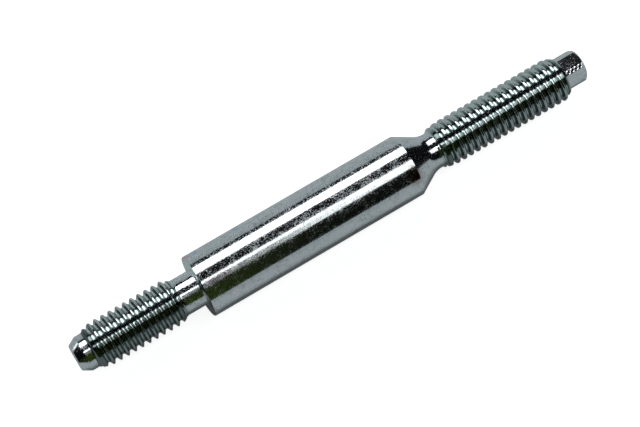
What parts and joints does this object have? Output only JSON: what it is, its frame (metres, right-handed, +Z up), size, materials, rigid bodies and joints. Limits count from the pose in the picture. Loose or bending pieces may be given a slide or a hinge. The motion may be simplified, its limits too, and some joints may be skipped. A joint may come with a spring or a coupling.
{
  "type": "alternator stud",
  "caption": "Shouldered steel stud: a short threaded end with a dog point, a thick plain spacer body with a conical neck, and a long threaded end with a small hexagonal drive.",
  "frame": {"origin": "centre of the shoulder face, on the stud's axis", "axes": "+X along the axis towards the hexagonal drive, +Z up with one drive flat facing up. The stud lies along +X; being round, it has no rest of its own, so it is held at the shoulder seat, where its short thread fixes it"},
  "size_m": [0.1158, 0.013, 0.013],
  "materials": {
    "zinc_plated_steel": "bright zinc plating, mirror-like with fine speckles and light scuffs"
  },
  "bodies": {
    "root": {"stud": "zinc_plated_steel"}
  },
  "joints": []
}
